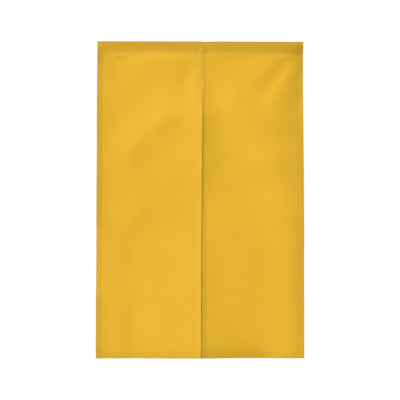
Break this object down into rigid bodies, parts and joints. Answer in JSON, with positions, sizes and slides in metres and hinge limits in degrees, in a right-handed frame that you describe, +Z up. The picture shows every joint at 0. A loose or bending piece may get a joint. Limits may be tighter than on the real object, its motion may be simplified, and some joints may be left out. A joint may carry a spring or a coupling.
{
  "type": "noren curtain",
  "caption": "Plain cloth doorway curtain of two lapped panels, joined at the top and slit below, with a rod pocket along its top edge.",
  "frame": {"origin": "middle of the top edge, over the axis of the rod pocket", "axes": "+X to the right seen from the front, -Y out of the front face, +Z up"},
  "size_m": [0.8556, 0.0373, 1.3],
  "materials": {
    "cloth": "matt plain weave, mustard yellow",
    "thread": "matt sewing thread, mustard yellow"
  },
  "bodies": {
    "root": {"left_panel": "cloth", "right_panel": "cloth"}
  },
  "joints": []
}
